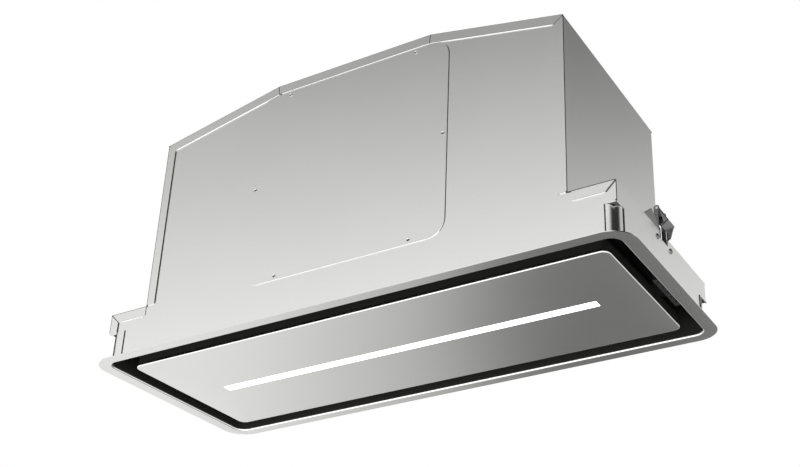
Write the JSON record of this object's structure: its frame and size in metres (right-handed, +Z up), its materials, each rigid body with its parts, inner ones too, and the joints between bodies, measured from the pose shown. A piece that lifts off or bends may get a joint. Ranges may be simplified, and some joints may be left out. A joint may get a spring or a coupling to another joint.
{
  "type": "range hood insert",
  "caption": "Built-in range hood insert with a stepped steel casing, a wide rim and a hinged, lit panel that draws air in round its edge.",
  "frame": {"origin": "centre of the rim on its underside", "axes": "+X along the width, -Y towards the side with the access cover, +Z up the duct"},
  "size_m": [0.7, 0.283, 0.372],
  "materials": {
    "satin_steel": "fine brushed stainless steel",
    "black_paint": "matte black powder coat",
    "galvanised": "galvanised sheet, faint spangle",
    "zinc_hardware": "bright zinc plate",
    "spring_steel": "grey spring steel",
    "magnet": "dull dark grey magnet",
    "filter_aluminium": "black anodised aluminium",
    "flap_aluminium": "plain aluminium sheet",
    "motor_grey": "satin grey motor can",
    "black_plastic": "moulded black plastic",
    "gloss_black": "gloss black plastic",
    "button_grey": "dark grey plastic",
    "rubber": "soft black rubber",
    "board_green": "coated circuit board",
    "board_white": "white light board",
    "diffuser": "opal plastic, lit",
    "ivory_plastic": "ivory plastic"
  },
  "bodies": {
    "casing": {"front_wall": "satin_steel", "rear_wall": "satin_steel", "left_end": "satin_steel", "right_end": "satin_steel", "top_cover": "satin_steel", "access_cover": "satin_steel", "cover_screws": "zinc_hardware", "rim_frame": "satin_steel", "gap_liner": "black_paint", "filter_clips": "galvanised", "hinge_brackets": "black_paint", "hinge_pins": "zinc_hardware", "catch_posts": "black_paint", "catch_magnets": "magnet", "scroll_shell": "galvanised", "scroll_front_plate": "galvanised", "scroll_rear_plate": "galvanised", "motor": "motor_grey", "motor_bracket": "galvanised", "motor_mounts": "rubber", "motor_screws": "zinc_hardware", "blower_screws": "zinc_hardware", "outlet_collar": "galvanised", "collar_screws": "zinc_hardware", "flap_pin": "zinc_hardware", "electronics_box": "galvanised", "electronics_lid": "galvanised", "circuit_board": "board_green", "terminal_block": "ivory_plastic", "capacitor": "ivory_plastic", "cable_gland": "black_plastic", "clamp_brackets": "galvanised", "clamp_pins": "zinc_hardware", "clamp_screws": "zinc_hardware", "control_housing": "gloss_black", "control_board": "board_green"},
    "panel": {"panel_skin": "satin_steel", "panel_box": "black_paint", "lamp_housing": "galvanised", "led_board": "board_white", "light_diffuser": "diffuser", "hinge_arms": "zinc_hardware", "strike_plates": "zinc_hardware"},
    "filter_left": {"filter_frame_left": "filter_aluminium", "filter_baffles_left": "filter_aluminium"},
    "pull_left": {"filter_pull_left": "zinc_hardware"},
    "filter_right": {"filter_frame_right": "filter_aluminium", "filter_baffles_right": "filter_aluminium"},
    "pull_right": {"filter_pull_right": "zinc_hardware"},
    "rotor": {"impeller": "black_plastic", "motor_shaft": "zinc_hardware"},
    "flap_left": {"flap_left": "flap_aluminium"},
    "flap_right": {"flap_right": "flap_aluminium"},
    "claw_left": {"clamp_claw_left": "spring_steel"},
    "claw_right": {"clamp_claw_right": "spring_steel"},
    "power_button": {"power_button": "button_grey"},
    "light_button": {"light_button": "button_grey"},
    "slower_button": {"slower_button": "button_grey"},
    "faster_button": {"faster_button": "button_grey"},
    "boost_button": {"boost_button": "button_grey"}
  },
  "joints": [
    {"name": "panel_hinge", "type": "hinge", "parent": "casing", "child": "panel", "pos_m": [0, 0.0977, 0.022], "axis": [1, 0, 0], "range_deg": [0, 90]},
    {"name": "filter_left_drop", "type": "slide", "parent": "casing", "child": "filter_left", "axis": [0, 0, -1], "range_m": [0, 0.018]},
    {"name": "pull_left_swing", "type": "hinge", "parent": "filter_left", "child": "pull_left", "pos_m": [-0.145, -0.083, 0.047], "axis": [1, 0, 0], "range_deg": [0, 86]},
    {"name": "filter_right_drop", "type": "slide", "parent": "casing", "child": "filter_right", "axis": [0, 0, -1], "range_m": [0, 0.018]},
    {"name": "pull_right_swing", "type": "hinge", "parent": "filter_right", "child": "pull_right", "pos_m": [0.145, -0.083, 0.047], "axis": [1, 0, 0], "range_deg": [0, 86]},
    {"name": "impeller_spin", "type": "hinge", "parent": "casing", "child": "rotor", "pos_m": [-0.06844, 0, 0.17806], "axis": [0, -1, 0], "continuous": true},
    {"name": "flap_left_swing", "type": "hinge", "parent": "casing", "child": "flap_left", "pos_m": [0, 0, 0.345], "axis": [0, 1, 0], "range_deg": [0, 78]},
    {"name": "flap_right_swing", "type": "hinge", "parent": "casing", "child": "flap_right", "pos_m": [0, 0, 0.345], "axis": [0, -1, 0], "range_deg": [0, 78]},
    {"name": "claw_left_swing", "type": "hinge", "parent": "casing", "child": "claw_left", "pos_m": [-0.3323, 0, 0.095], "axis": [0, -1, 0], "range_deg": [0, 15], "stiffness_Nm_per_rad": 0.3},
    {"name": "claw_right_swing", "type": "hinge", "parent": "casing", "child": "claw_right", "pos_m": [0.3323, 0, 0.095], "axis": [0, 1, 0], "range_deg": [0, 15], "stiffness_Nm_per_rad": 0.3},
    {"name": "power_press", "type": "slide", "parent": "casing", "child": "power_button", "axis": [0, 0, 1], "range_m": [0, 0.0008], "stiffness_N_per_m": 400},
    {"name": "light_press", "type": "slide", "parent": "casing", "child": "light_button", "axis": [0, 0, 1], "range_m": [0, 0.0008], "stiffness_N_per_m": 400},
    {"name": "slower_press", "type": "slide", "parent": "casing", "child": "slower_button", "axis": [0, 0, 1], "range_m": [0, 0.0008], "stiffness_N_per_m": 400},
    {"name": "faster_press", "type": "slide", "parent": "casing", "child": "faster_button", "axis": [0, 0, 1], "range_m": [0, 0.0008], "stiffness_N_per_m": 400},
    {"name": "boost_press", "type": "slide", "parent": "casing", "child": "boost_button", "axis": [0, 0, 1], "range_m": [0, 0.0008], "stiffness_N_per_m": 400}
  ]
}
